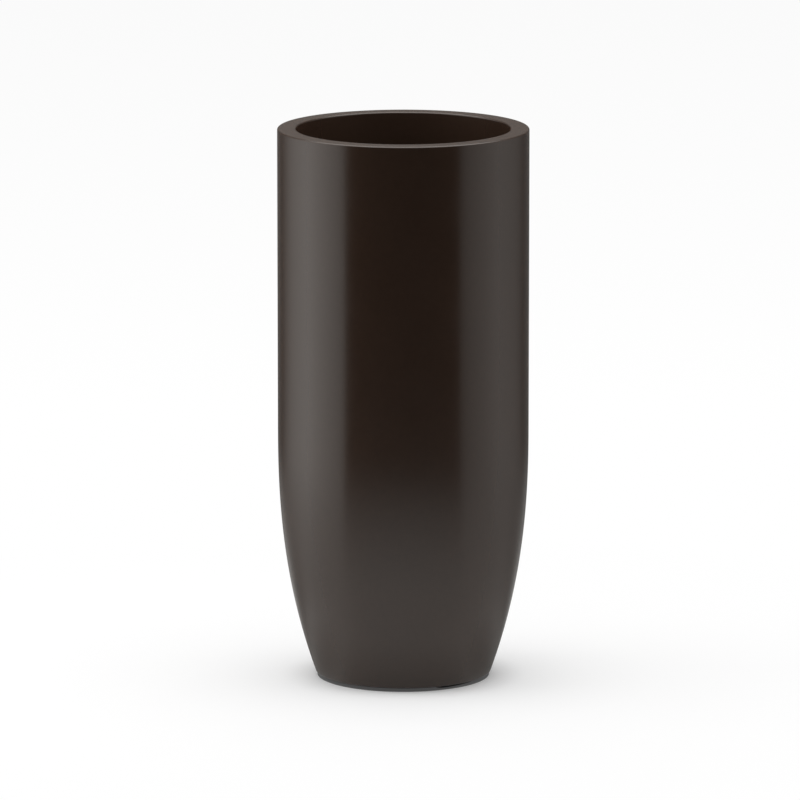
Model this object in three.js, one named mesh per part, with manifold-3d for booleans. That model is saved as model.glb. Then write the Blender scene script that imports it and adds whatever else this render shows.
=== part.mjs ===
// Tall round fiberglass planter. Millimetres, +Z up.
// The origin is on the floor, on the planter's axis, and the front faces -Y.
// Azimuths are measured from the front, towards +X.
import * as THREE from 'three';
import { mergeVertices } from 'three/addons/utils/BufferGeometryUtils.js';
import Module from 'manifold-3d';

const wasm = await Module();
wasm.setup();

// ---- Driving dimensions -------------------------------------------------

// Body
const bodyRadius = 207;
const bodyHeight = 915;
const taperHeight = 412;
const taperPower = 2.38;
const footRadius = 144.5;
const footRound = 5;
const wallThickness = 6;

// Rim ring: a flat flange on the wall's top edge, and a return that runs down inside the mouth
const rimWidth = 30.5;
const rimThickness = 7;
const rimOuterRound = 2.6;
const rimInnerRound = 2.4;
const rimFillet = 8;
const returnDepth = 75;
const returnThickness = 5;
const returnEdgeRound = 1.5;
const spigotHeight = 10;
const spigotThickness = 4;

// Base sandwich: the shell's bottom, a plywood core and an inner floor
const bottomThickness = 6;
const coreThickness = 12;
const floorThickness = 4;
const floorCove = 14;
const coveThickness = 3;

// Drain
const drainRadius = 13;
const sleeveThickness = 4;
const sleeveFlangeRadius = 26;
const sleeveFlangeThickness = 3;
const plugHeadRadius = 19;
const plugHeadThickness = 4;
const plugLength = 20;
const plugTaper = 1.5;
const plugKnobRadius = 8;
const plugKnobTopRadius = 4;
const plugKnobEase = 1;
const plugKnobHeight = 14;
const plugNeckRadius = 5;

// Drainage plate on its cleats, above the sump
const sumpHeight = 110;
const plateThickness = 5;
const plateClearance = 4.5;
const plateRibDepth = 16;
const plateRibThickness = 3;
const plateRibCount = 8;
const plateHubRadius = 45;
const plateHoleRadius = 5;
const plateRingPitch = 35;
const plateRingStart = 0.75;
const plateRingCount = 3;
const fingerRing = 1;
const centreHoleCount = 6;
const centreHoleShare = 0.6;
const fingerHoleRadius = 15;
const cleatCount = 4;
const cleatWidth = 44;
const cleatHeight = 30;
const cleatLip = 7;
const cleatReach = 15;

// Curved rubber pads and their screws, one at each end of a pad
const padCount = 3;
const padAzimuth = 45;
const padLength = 80;
const padWidth = 24;
const padHeight = 5;
const padInset = 14;
const padChamfer = 0.8;
const screwHeadRadius = 4.4;
const screwHeadThickness = 1.6;
const screwShankRadius = 2.1;
const screwTipCover = 2;
const screwRecess = 1;
const headClearance = 0.8;

// Fits
const seatGap = 0.3;
const plugClearance = 0.3;

// Facets
const bodySides = 64;
const smallSides = 24;
const holeSides = 10;
const padArcSteps = 3;
const taperSteps = 12;

// ---- Heights and radii that follow from them ----------------------------

const shellBottom = padHeight + seatGap;
const taperTop = shellBottom + taperHeight;
const shellFloor = shellBottom + bottomThickness;
const coreBottom = shellFloor + seatGap;
const coreTop = coreBottom + coreThickness;
const floorBottom = coreTop + seatGap;
const floorTop = floorBottom + floorThickness;
const plateBottom = floorTop + sumpHeight;
const mouthRadius = bodyRadius - rimWidth;
const rimUnderside = bodyHeight - rimThickness;
const wallTop = rimUnderside - seatGap;
const sleeveRadius = drainRadius + sleeveThickness;
const drainHoleRadius = sleeveRadius + seatGap;
const screwHoleRadius = screwShankRadius + seatGap;
const padMiddleRadius = footRadius - padInset - padWidth / 2;
const padEndAngle = THREE.MathUtils.radToDeg((padLength - padWidth) / 2 / padMiddleRadius);
const screwTip = coreTop - screwTipCover;
const plateRings = levels(0, plateRingCount - 1, plateRingCount - 1).map(
  (ring) => plateHubRadius + plateRingPitch * (ring + plateRingStart));
const centreHoleCircle = plateHubRadius * centreHoleShare;
const plateRadius = Math.min(mouthRadius, innerRadiusAt(plateBottom)) - plateClearance;

// ---- The wall's curve ---------------------------------------------------

// The outside stays straight down to taperTop and then draws in, ever faster, to the foot.
function outerRadiusAt(height) {
  const drop = Math.max(0, taperTop - height) / taperHeight;
  return bodyRadius - (bodyRadius - footRadius) * drop ** taperPower;
}

function wallSlopeAt(height) {
  const drop = Math.max(0, taperTop - height) / taperHeight;
  return (bodyRadius - footRadius) * taperPower * drop ** (taperPower - 1) / taperHeight;
}

// The laminate has the same thickness, measured square to the wall, all the way down.
function innerRadiusAt(height) {
  return outerRadiusAt(height) - wallThickness * Math.hypot(1, wallSlopeAt(height));
}

// ---- Shape helpers ------------------------------------------------------

// Points of an arc in a profile, as [radius, height] pairs. Angles are in degrees from outwards.
function arc(centreRadius, centreHeight, arcRadius, fromAngle, toAngle, steps) {
  return Array.from({ length: steps + 1 }, (_, step) => {
    const angle = THREE.MathUtils.degToRad(fromAngle + (toAngle - fromAngle) * step / steps);
    return [centreRadius + arcRadius * Math.cos(angle), centreHeight + arcRadius * Math.sin(angle)];
  });
}

// Even heights from one level to another, both included.
function levels(from, to, steps) {
  return Array.from({ length: steps + 1 }, (_, step) => from + (to - from) * step / steps);
}

// A solid of revolution about Z from a profile of [radius, height] pairs.
function revolve(profile, sides) {
  const points = profile.map(([radius, height]) => new THREE.Vector2(radius, height));
  const geometry = new THREE.LatheGeometry(points, sides);
  geometry.rotateX(Math.PI / 2);
  return geometry;
}

// The same from a ring's profile, which closes on itself away from the axis.
function revolveRing(profile, sides) {
  return revolve([...profile, profile[0]], sides);
}

function toSolid(geometry) {
  geometry.deleteAttribute('normal');
  geometry.deleteAttribute('uv');
  const merged = mergeVertices(geometry);
  return new wasm.Manifold(new wasm.Mesh({
    numProp: 3,
    vertProperties: merged.attributes.position.array,
    triVerts: merged.index.array,
  }));
}

function toGeometry(solid) {
  const mesh = solid.getMesh();
  const geometry = new THREE.BufferGeometry();
  geometry.setAttribute('position', new THREE.BufferAttribute(mesh.vertProperties, 3));
  geometry.setIndex(new THREE.BufferAttribute(mesh.triVerts, 1));
  geometry.computeVertexNormals();
  return geometry;
}

function pointAt(azimuth, radius, height) {
  const angle = THREE.MathUtils.degToRad(azimuth);
  return new THREE.Vector3(radius * Math.sin(angle), -radius * Math.cos(angle), height);
}

// Each pad lies across its own azimuth, with a screw at the centre of each round end.
const padAzimuths = Array.from({ length: padCount }, (_, index) => padAzimuth + index * 360 / padCount);
const screwCentres = padAzimuths.flatMap((azimuth) => [
  pointAt(azimuth - padEndAngle, padMiddleRadius, 0),
  pointAt(azimuth + padEndAngle, padMiddleRadius, 0),
]);

// An upright peg that cuts a round hole.
function peg(centre, radius, fromHeight, toHeight) {
  const geometry = new THREE.CylinderGeometry(radius, radius, toHeight - fromHeight, holeSides);
  geometry.rotateX(Math.PI / 2);
  geometry.translate(centre.x, centre.y, (fromHeight + toHeight) / 2);
  return toSolid(geometry);
}

function drill(solid, centres, radius, fromHeight, toHeight) {
  return centres.reduce(
    (drilled, centre) => drilled.subtract(peg(centre, radius, fromHeight, toHeight)), solid);
}

// ---- Materials ----------------------------------------------------------

const finishes = {
  gelcoat: { color: 0x33271f, roughness: 0.22, metalness: 0 },
  laminate: { color: 0x271f19, roughness: 0.55, metalness: 0 },
  plywood: { color: 0xb69365, roughness: 0.7, metalness: 0 },
  plastic: { color: 0x1d1d1d, roughness: 0.5, metalness: 0 },
  rubber: { color: 0x131313, roughness: 0.75, metalness: 0 },
  steel: { color: 0xcbcbcc, roughness: 0.35, metalness: 1 },
};

function piece(name, geometry, finish) {
  const mesh = new THREE.Mesh(geometry, new THREE.MeshStandardMaterial(finishes[finish]));
  mesh.name = name;
  return mesh;
}

// ---- Shell --------------------------------------------------------------

function shellProfile() {
  // The rounded foot edge is tangent to the flat bottom and to the wall's lowest stretch.
  const footSlope = wallSlopeAt(shellBottom);
  const footLean = THREE.MathUtils.radToDeg(Math.atan(footSlope));
  const footCentreRadius = footRadius + footSlope * footRound - footRound * Math.hypot(1, footSlope);
  const footEdge = arc(footCentreRadius, shellBottom + footRound, footRound, -90, -footLean, 4);
  const wallStart = footEdge[footEdge.length - 1][1];
  const outside = levels(wallStart, taperTop, taperSteps).slice(1);

  const inside = levels(taperTop, shellFloor, taperSteps);
  return [
    [drainHoleRadius, shellBottom],
    ...footEdge,
    ...outside.map((height) => [outerRadiusAt(height), height]),
    [bodyRadius, wallTop],
    [bodyRadius - wallThickness, wallTop],
    ...inside.map((height) => [innerRadiusAt(height), height]),
    [drainHoleRadius, shellFloor],
  ];
}

function outerShell() {
  const body = toSolid(revolveRing(shellProfile(), bodySides));
  const drilled = drill(body, screwCentres, screwHoleRadius, shellBottom - 1, shellFloor + 1);
  return piece('outer_shell', toGeometry(drilled), 'gelcoat');
}

// ---- Rim ring -----------------------------------------------------------

// The flange covers the wall's top edge, a spigot under it centres the ring inside the wall,
// and the return gives the mouth a deep, thick-looking edge.
function rimRing() {
  const returnOuterRadius = mouthRadius + returnThickness;
  const edgeHeight = bodyHeight - returnDepth + returnEdgeRound;
  const spigotRadius = bodyRadius - wallThickness - seatGap;
  const spigotBottom = rimUnderside - spigotHeight;
  const ring = revolveRing([
    ...arc(mouthRadius + returnEdgeRound, edgeHeight, returnEdgeRound, 180, 270, 2),
    ...arc(returnOuterRadius - returnEdgeRound, edgeHeight, returnEdgeRound, 270, 360, 2),
    ...arc(returnOuterRadius + rimFillet, rimUnderside - rimFillet, rimFillet, 180, 90, 2),
    [spigotRadius - spigotThickness, rimUnderside],
    [spigotRadius - spigotThickness, spigotBottom],
    [spigotRadius, spigotBottom],
    [spigotRadius, rimUnderside],
    [bodyRadius, rimUnderside],
    ...arc(bodyRadius - rimOuterRound, bodyHeight - rimOuterRound, rimOuterRound, 0, 90, 3),
    ...arc(mouthRadius + rimInnerRound, bodyHeight - rimInnerRound, rimInnerRound, 90, 180, 2),
  ], bodySides);
  return piece('rim_ring', ring, 'gelcoat');
}

// ---- Base ---------------------------------------------------------------

function baseCore() {
  const disc = toSolid(revolveRing([
    [drainHoleRadius, coreBottom],
    [innerRadiusAt(coreBottom) - seatGap, coreBottom],
    [innerRadiusAt(coreTop) - seatGap, coreTop],
    [drainHoleRadius, coreTop],
  ], bodySides));
  const drilled = drill(disc, screwCentres, screwHoleRadius, coreBottom - 1, screwTip + seatGap);
  return piece('base_core', toGeometry(drilled), 'plywood');
}

// The inner floor turns up the wall in a cove, as laminate that is lapped onto it.
function baseFloor() {
  const coveTop = floorTop + floorCove;
  const coveCentreRadius = innerRadiusAt(coveTop) - seatGap - coveThickness - floorCove;
  const wallHeights = levels(floorBottom, coveTop, 2);
  const panel = revolveRing([
    [drainHoleRadius, floorBottom],
    ...wallHeights.map((height) => [innerRadiusAt(height) - seatGap, height]),
    ...arc(coveCentreRadius, coveTop, floorCove, 0, -90, 3),
    [drainHoleRadius, floorTop],
  ], bodySides);
  return piece('base_floor', panel, 'laminate');
}

// ---- Drain --------------------------------------------------------------

function drainSleeve() {
  const flangeBottom = floorTop + seatGap;
  const flangeTop = flangeBottom + sleeveFlangeThickness;
  const sleeve = revolveRing([
    [drainRadius, shellBottom],
    [sleeveRadius, shellBottom],
    [sleeveRadius, flangeBottom],
    [sleeveFlangeRadius, flangeBottom],
    [sleeveFlangeRadius, flangeTop - sleeveFlangeThickness / 3],
    [sleeveFlangeRadius - sleeveFlangeThickness / 3, flangeTop],
    [drainRadius, flangeTop],
  ], smallSides);
  return piece('drain_sleeve', sleeve, 'plastic');
}

// The stopper hangs by its head on the sleeve's flange, and its knob lifts it out.
function drainPlug() {
  const headBottom = floorTop + seatGap + sleeveFlangeThickness + seatGap;
  const headTop = headBottom + plugHeadThickness;
  const plugRadius = drainRadius - plugClearance;
  const knobTop = headTop + plugKnobHeight;
  const knobCentre = knobTop - plugKnobHeight / 3;
  const stopper = revolve([
    [0, headBottom - plugLength],
    [plugRadius - plugTaper, headBottom - plugLength],
    [plugRadius, headBottom],
    [plugHeadRadius, headBottom],
    [plugHeadRadius, headTop - plugHeadThickness / 4],
    [plugHeadRadius - plugHeadThickness / 4, headTop],
    [plugNeckRadius, headTop],
    [plugNeckRadius, headTop + plugKnobHeight / 3],
    [plugKnobRadius, knobCentre],
    [(plugKnobRadius + plugKnobTopRadius) / 2, knobTop - plugKnobEase],
    [plugKnobTopRadius, knobTop],
    [0, knobTop],
  ], smallSides);
  return piece('drain_plug', stopper, 'rubber');
}

// ---- Drainage plate and cleats ------------------------------------------

function circlePoints(centre, radius, sides) {
  return Array.from({ length: sides }, (_, side) => {
    const angle = side * Math.PI * 2 / sides;
    return new THREE.Vector2(centre.x + radius * Math.cos(angle), centre.y + radius * Math.sin(angle));
  });
}

// The ribs split the plate into equal sectors. Outside the hub each ring has one hole more in
// every sector than the ring inside it. Two opposite sectors have a finger hole in the middle ring.
function plateHoles() {
  const sector = 360 / plateRibCount;
  const holes = [];
  for (let index = 0; index < centreHoleCount; index += 1) {
    const azimuth = sector / 2 + index * 360 / centreHoleCount;
    holes.push({ azimuth, radius: centreHoleCircle, size: plateHoleRadius });
  }
  for (let rib = 0; rib < plateRibCount; rib += 1) {
    plateRings.forEach((radius, ring) => {
      if (ring === fingerRing && rib % (plateRibCount / 2) === 0) {
        holes.push({ azimuth: (rib + 0.5) * sector, radius, size: fingerHoleRadius });
        return;
      }
      const count = ring + 1;
      for (let step = 0; step < count; step += 1) {
        const azimuth = (rib + (step + 0.5) / count) * sector;
        holes.push({ azimuth, radius, size: plateHoleRadius });
      }
    });
  }
  return holes;
}

function plateRibs() {
  const ribTop = plateBottom + plateThickness / 2;
  const ribBottom = plateBottom - plateRibDepth;
  const ribEnd = plateRadius - cleatReach - plateClearance;
  const hub = toSolid(revolveRing([
    [plateHubRadius - plateRibThickness, ribBottom],
    [plateHubRadius, ribBottom],
    [plateHubRadius, ribTop],
    [plateHubRadius - plateRibThickness, ribTop],
  ], smallSides));
  const ribStart = plateHubRadius - plateRibThickness / 2;
  const ribs = Array.from({ length: plateRibCount }, (_, index) => {
    const rib = new THREE.BoxGeometry(plateRibThickness, ribEnd - ribStart, ribTop - ribBottom);
    rib.translate(0, -(ribStart + ribEnd) / 2, (ribTop + ribBottom) / 2);
    rib.rotateZ(THREE.MathUtils.degToRad(index * 360 / plateRibCount));
    return toSolid(rib);
  });
  return [hub, ...ribs];
}

function drainagePlate() {
  const outline = new THREE.Shape(circlePoints(new THREE.Vector2(), plateRadius, bodySides));
  for (const hole of plateHoles()) {
    const sides = hole.size > plateHoleRadius ? smallSides : holeSides;
    const centre = pointAt(hole.azimuth, hole.radius, 0);
    outline.holes.push(new THREE.Path(circlePoints(centre, hole.size, sides)));
  }
  const disc = new THREE.ExtrudeGeometry(outline, { depth: plateThickness, bevelEnabled: false });
  disc.translate(0, 0, plateBottom);
  const plate = plateRibs().reduce((solid, rib) => solid.add(rib), toSolid(disc));
  return piece('drainage_plate', toGeometry(plate), 'plastic');
}

// A ring that fills the planter out to its wall, less the seat gap.
function spaceInsideWall(innerRadius) {
  const heights = levels(shellFloor, taperTop, taperSteps);
  return toSolid(revolveRing([
    [innerRadius, shellFloor],
    ...heights.map((height) => [innerRadiusAt(height) - seatGap, height]),
    [innerRadius, taperTop],
  ], bodySides));
}

// A gusset under the plate's edge, with its back shaped to the tapered wall.
function cleatGeometry() {
  const top = plateBottom - seatGap;
  const lipRadius = plateRadius - cleatReach;
  const side = new THREE.Shape([
    new THREE.Vector2(lipRadius, top),
    new THREE.Vector2(lipRadius, top - cleatLip),
    new THREE.Vector2(lipRadius + cleatReach, top - cleatHeight),
    new THREE.Vector2(bodyRadius, top - cleatHeight),
    new THREE.Vector2(bodyRadius, top),
  ]);
  const block = new THREE.ExtrudeGeometry(side, { depth: cleatWidth, bevelEnabled: false });
  block.translate(0, 0, -cleatWidth / 2);
  block.rotateX(Math.PI / 2);
  block.rotateZ(-Math.PI / 2);
  const cleat = toSolid(block).intersect(spaceInsideWall(lipRadius - wallThickness));
  return toGeometry(cleat);
}

function supportCleats() {
  const geometry = cleatGeometry();
  return Array.from({ length: cleatCount }, (_, index) => {
    const cleat = piece(`support_cleat_${index + 1}`, geometry, 'laminate');
    cleat.rotation.z = THREE.MathUtils.degToRad((index + 0.5) * 360 / cleatCount);
    return cleat;
  });
}

// ---- Pads and screws ----------------------------------------------------

// A bean-shaped pad with round ends, drawn across azimuth 0 and turned to its own.
function padOutline() {
  const front = -Math.PI / 2;
  const halfAngle = THREE.MathUtils.degToRad(padEndAngle);
  const from = front - halfAngle;
  const to = front + halfAngle;
  const endRadius = padWidth / 2;
  const outline = new THREE.Shape();
  outline.absarc(0, 0, padMiddleRadius + endRadius, from, to, false);
  outline.absarc(
    padMiddleRadius * Math.cos(to), padMiddleRadius * Math.sin(to), endRadius, to, to + Math.PI, false);
  outline.absarc(0, 0, padMiddleRadius - endRadius, to, from, true);
  outline.absarc(
    padMiddleRadius * Math.cos(from), padMiddleRadius * Math.sin(from), endRadius,
    from + Math.PI, from + 2 * Math.PI, false);
  return outline;
}

function padGeometry() {
  const blank = new THREE.ExtrudeGeometry(padOutline(), {
    depth: padHeight - 2 * padChamfer,
    curveSegments: padArcSteps,
    bevelSegments: 1,
    bevelThickness: padChamfer,
    bevelSize: padChamfer,
    bevelOffset: -padChamfer,
  });
  blank.translate(0, 0, padChamfer);
  const ends = [-padEndAngle, padEndAngle].map((azimuth) => pointAt(azimuth, padMiddleRadius, 0));
  const recessTop = screwRecess + screwHeadThickness + seatGap;
  const bored = drill(toSolid(blank), ends, screwHoleRadius, -1, padHeight + 1);
  return toGeometry(drill(bored, ends, screwHeadRadius + headClearance, -1, recessTop));
}

function footPads() {
  const geometry = padGeometry();
  return padAzimuths.map((azimuth, index) => {
    const pad = piece(`foot_pad_${index + 1}`, geometry, 'rubber');
    pad.rotation.z = THREE.MathUtils.degToRad(azimuth);
    return pad;
  });
}

function footScrews() {
  const shankBottom = screwRecess + screwHeadThickness;
  const shoulder = screwHeadThickness / 2;
  const geometry = revolve([
    [0, screwRecess],
    [screwHeadRadius - shoulder, screwRecess],
    [screwHeadRadius, screwRecess + shoulder],
    [screwHeadRadius, shankBottom],
    [screwShankRadius, shankBottom],
    [screwShankRadius, screwTip - screwShankRadius],
    [0, screwTip],
  ], holeSides);
  return screwCentres.map((centre, index) => {
    const screw = piece(`foot_screw_${index + 1}`, geometry, 'steel');
    screw.position.copy(centre);
    return screw;
  });
}

// ---- Assembly -----------------------------------------------------------

const planter = new THREE.Group();
planter.add(outerShell(), rimRing(), baseCore(), baseFloor(), drainSleeve());

const liftOutParts = new THREE.Group();
liftOutParts.add(drainPlug(), drainagePlate());
planter.add(liftOutParts, ...supportCleats());

const feet = new THREE.Group();
feet.add(...footPads(), ...footScrews());
planter.add(feet);

export default planter;
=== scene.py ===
"""A tall round fiberglass planter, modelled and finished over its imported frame, in a pale studio."""

import math

import bmesh
import bpy
from bpy.props import FloatProperty, FloatVectorProperty, IntProperty, PointerProperty
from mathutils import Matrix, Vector


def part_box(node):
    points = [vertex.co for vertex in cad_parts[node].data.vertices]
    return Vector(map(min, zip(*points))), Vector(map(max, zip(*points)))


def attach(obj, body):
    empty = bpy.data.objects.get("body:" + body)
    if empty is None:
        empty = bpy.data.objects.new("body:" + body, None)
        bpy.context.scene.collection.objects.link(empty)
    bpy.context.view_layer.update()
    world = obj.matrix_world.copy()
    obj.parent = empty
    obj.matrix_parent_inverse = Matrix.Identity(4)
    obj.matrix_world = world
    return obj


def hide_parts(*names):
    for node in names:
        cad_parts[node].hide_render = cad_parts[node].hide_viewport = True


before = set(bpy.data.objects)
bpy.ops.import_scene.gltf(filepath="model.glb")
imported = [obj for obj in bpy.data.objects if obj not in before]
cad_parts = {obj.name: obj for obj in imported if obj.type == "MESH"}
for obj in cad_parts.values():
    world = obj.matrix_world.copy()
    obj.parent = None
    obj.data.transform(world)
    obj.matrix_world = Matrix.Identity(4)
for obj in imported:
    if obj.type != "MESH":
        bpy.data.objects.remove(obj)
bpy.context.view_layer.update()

bl_info = {
    "name": "Tall Fiberglass Planter",
    "version": (1, 0, 0),
    "blender": (4, 5, 0),
    "location": "View3D > Sidebar > Planter",
    "description": "Models a tall round planter with a drained base and a lift-out drainage plate",
    "category": "Add Mesh",
}

SHELL_LOW, SHELL_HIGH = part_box("outer_shell")
RIM_LOW, RIM_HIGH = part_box("rim_ring")
CORE_LOW, CORE_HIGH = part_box("base_core")
FLOOR_LOW, FLOOR_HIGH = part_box("base_floor")
SLEEVE_LOW, SLEEVE_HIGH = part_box("drain_sleeve")
PLUG_LOW, PLUG_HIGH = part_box("drain_plug")
PLATE_LOW, PLATE_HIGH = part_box("drainage_plate")
CLEAT_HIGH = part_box("support_cleat_1")[1]
PAD_LOW, PAD_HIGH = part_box("foot_pad_1")
SCREW_LOW, SCREW_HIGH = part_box("foot_screw_1")


def numbered(stem, count):
    return [f"{stem}_{number}" for number in range(1, count + 1)]


PAD_NODES = numbered("foot_pad", 3)
SCREW_NODES = numbered("foot_screw", 6)
CLEAT_NODES = numbered("support_cleat", 4)

# Clearance between pieces that seat on each other, as the frame has it.
GAP = 0.0003
# How far from a rounding the flat beside it gets its first loop, which keeps the shading crisp.
HOLD = 0.0004
# Where the flats round the drain hole get their first loop, from the hole's edge.
FLAT_START = 0.012
# How far a drill stands out of what it goes through.
DRILL_OVER = 0.002
# Points closer than this are one.
WELD = 0.000005


# ---- Sizes and colours a user may change ---------------------------------


def length(name, description, default):
    return FloatProperty(
        name=name, description=description, default=default, min=0.0, unit="LENGTH", precision=4
    )


def colour(name, description, default):
    return FloatVectorProperty(
        name=name, description=description, default=default, size=3, min=0.0, max=1.0, subtype="COLOR"
    )


class ShellSizes(bpy.types.PropertyGroup):
    body_radius: length("Body radius", "Outside radius of the straight upper body", SHELL_HIGH.x)
    body_height: length("Body height", "Height of the rim's top above the floor", RIM_HIGH.z)
    shell_bottom: length("Shell bottom", "Height of the shell's underside on its pads", SHELL_LOW.z)
    taper_height: length("Taper height", "How far up the curved taper reaches", 0.412)
    taper_power: FloatProperty(
        name="Taper power", description="How late the taper draws in", default=2.38, min=1.0
    )
    foot_radius: length("Foot radius", "Radius the taper comes down to", 0.1445)
    foot_round: length("Foot round", "Rounding of the foot's edge", 0.005)
    wall_thickness: length("Wall thickness", "Thickness of the laminate", 0.006)
    bottom_thickness: length("Bottom thickness", "Thickness of the shell's bottom", 0.006)
    rim_width: length("Rim width", "Width of the flat rim", 0.0305)
    rim_thickness: length("Rim thickness", "Thickness of the rim's flange", 0.007)
    rim_outer_round: length("Rim outer round", "Rounding of the rim's outer edge", 0.0026)
    rim_inner_round: length("Rim inner round", "Rounding of the mouth's edge", 0.0024)
    return_thickness: length("Return thickness", "Thickness of the return in the mouth", 0.005)
    return_fillet: length("Return fillet", "Fillet between the return and the flange", 0.008)
    lap_height: length("Lap height", "Height of the bonded lap under the flange", 0.010)
    lap_thickness: length("Lap thickness", "Thickness of the bonded lap", 0.0043)
    turns: IntProperty(
        name="Facets round", description="Facets round the skin", default=256, min=32, max=512
    )


class BaseSizes(bpy.types.PropertyGroup):
    drain_radius: length("Drain radius", "Bore of the drain sleeve", 0.013)
    sleeve_wall: length("Sleeve wall", "Wall of the drain sleeve", 0.004)
    flange_thickness: length("Flange thickness", "Thickness of the sleeve's flange", 0.003)
    cove: length("Cove", "Radius of the inner floor's cove", 0.014)
    cove_thickness: length("Cove thickness", "Thickness of the lap up the wall", 0.003)
    floor_thickness: length("Floor thickness", "Thickness of the inner floor", 0.004)
    plug_head: length("Plug head", "Thickness of the plug's head", 0.004)
    plug_knob: length("Plug knob", "Height of the plug's knob", 0.014)
    plug_taper: length("Plug taper", "How much the plug's stem narrows", 0.0015)


class PlateSizes(bpy.types.PropertyGroup):
    thickness: length("Plate thickness", "Thickness of the drainage plate", 0.005)
    rib_thickness: length("Rib thickness", "Thickness of the plate's ribs", 0.003)
    hub_radius: length("Hub radius", "Radius of the ring under the plate", 0.045)
    ring_pitch: length("Ring pitch", "Distance between rings of holes", 0.035)
    hole_radius: length("Hole radius", "Radius of a drainage hole", 0.005)
    finger_radius: length("Finger hole radius", "Radius of a finger hole", 0.015)
    cleat_width: length("Cleat width", "Width of a support cleat", 0.044)
    cleat_reach: length("Cleat reach", "How far a cleat reaches under the plate", 0.015)
    cleat_lip: length("Cleat lip", "Depth of a cleat's front edge", 0.007)


class FootSizes(bpy.types.PropertyGroup):
    pad_width: length("Pad width", "Width of a curved rubber pad", 0.024)
    pad_round: length("Pad rounding", "Rounding of a pad's lower edge", 0.0010)
    shank_bore: length("Shank bore", "Radius of the hole for a screw's shank", 0.0024)
    head_bore: length("Head bore", "Radius of the recess for a screw's head", 0.0052)
    head_seat: length("Head seat", "Height of the recess for a screw's head", 0.0029)
    thread_pitch: length("Thread pitch", "Distance between a screw's threads", 0.0014)


class PlanterColours(bpy.types.PropertyGroup):
    gelcoat: colour("Gelcoat", "Satin brown of the outside", (0.0316, 0.0184, 0.0124))
    dust: colour("Dust", "Dust on the satin surfaces", (0.20, 0.17, 0.14))
    laminate: colour("Laminate", "Flow coat over the glass inside", (0.0200, 0.0135, 0.0100))
    strands: colour("Strands", "Glass strands that show in the laminate", (0.052, 0.038, 0.028))
    plywood: colour("Plywood", "Pale plies of the base core", (0.47, 0.29, 0.13))
    plywood_dark: colour("Plywood dark", "Dark plies and grain of the core", (0.24, 0.12, 0.05))
    plastic: colour("Plastic", "Moulded black plastic", (0.012, 0.012, 0.0125))
    rubber: colour("Rubber", "Moulded black rubber", (0.0065, 0.0063, 0.0062))
    zinc: colour("Zinc", "Bright zinc plating", (0.60, 0.60, 0.61))


# ---- The wall's curve ------------------------------------------------------


def taper_drop(size, height):
    return max(0.0, size.shell_bottom + size.taper_height - height) / size.taper_height


def outer_radius(size, height):
    drawn_in = (size.body_radius - size.foot_radius) * taper_drop(size, height) ** size.taper_power
    return size.body_radius - drawn_in


def wall_slope(size, height):
    power = size.taper_power
    steepness = (size.body_radius - size.foot_radius) * power / size.taper_height
    return steepness * taper_drop(size, height) ** (power - 1)


def inner_radius(size, height):
    return outer_radius(size, height) - size.wall_thickness * math.hypot(1, wall_slope(size, height))


def levels(start, end, steps):
    return [start + (end - start) * step / steps for step in range(steps + 1)]


def arc(radius, height, size, start, end, steps=8):
    """Points of an arc in a half section; angles in degrees from outwards."""
    return [
        (radius + size * math.cos(math.radians(angle)), height + size * math.sin(math.radians(angle)))
        for angle in levels(start, end, steps)
    ]


def rounded(side, level, size, start, steps=8):
    """A quarter round in a corner: from 0 at the upper outer one, 90 upper inner, 180 lower inner or 270."""
    outwards = 1 if start in (0, 270) else -1
    upwards = 1 if start in (0, 90) else -1
    return arc(side - outwards * size, level - upwards * size, size, start, start + 90, steps)


# ---- Modelling by hand -----------------------------------------------------


def deselect():
    bpy.ops.object.select_all(action="DESELECT")


def pick(piece):
    """Select this object alone and make it active."""
    deselect()
    piece.select_set(True)
    bpy.context.view_layer.objects.active = piece


def draw(name, points, closed=True):
    """Draw a wire in the XZ plane, vertex by vertex, and leave it in edit mode."""
    path = [*points, points[0]] if closed else list(points)
    deselect()
    bpy.ops.mesh.primitive_plane_add(size=0.001, location=(path[0][0], 0, path[0][1]))
    piece = bpy.context.object
    piece.name = piece.data.name = name
    bpy.ops.object.mode_set(mode="EDIT")
    bpy.ops.mesh.merge(type="CENTER")
    for (radius, height), (next_radius, next_height) in zip(path, path[1:]):
        step = (next_radius - radius, 0, next_height - height)
        bpy.ops.mesh.extrude_region_move(TRANSFORM_OT_translate={"value": step})
    bpy.ops.mesh.select_all(action="SELECT")
    bpy.ops.mesh.remove_doubles(threshold=WELD)
    return piece


def turn(name, points, facets, closed=True, angle=math.tau, centre=0.0):
    """Spin a section round an upright axis; a full turn makes a closed solid."""
    piece = draw(name, points, closed)
    bpy.ops.mesh.spin(steps=facets, angle=angle, center=(centre, 0, 0), axis=(0, 0, 1))
    weld()
    settle(piece)
    return piece


def weld():
    """Merge doubled points, face everything outwards and leave edit mode."""
    bpy.ops.mesh.select_all(action="SELECT")
    bpy.ops.mesh.remove_doubles(threshold=WELD)
    bpy.ops.mesh.normals_make_consistent(inside=False)
    bpy.ops.object.mode_set(mode="OBJECT")


def settle(piece):
    """Move the object's place into its mesh."""
    pick(piece)
    bpy.ops.object.transform_apply(location=True, rotation=True, scale=True)


def modify(piece, kind, **settings):
    """Add one modifier, set it and apply it."""
    pick(piece)
    bpy.ops.object.modifier_add(type=kind)
    modifier = piece.modifiers[-1]
    for name, value in settings.items():
        setattr(modifier, name, value)
    bpy.ops.object.modifier_apply(modifier=modifier.name)


def combine(piece, tool, operation):
    """Cut, join or trim a piece with another solid, which is used up."""
    modify(piece, "BOOLEAN", operation=operation, solver="EXACT", object=tool)
    bpy.data.objects.remove(tool)


def copy_at(piece, offset):
    """A copy with its own mesh, moved by an offset."""
    pick(piece)
    bpy.ops.object.duplicate()
    bpy.ops.transform.translate(value=offset)
    return bpy.context.object


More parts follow.
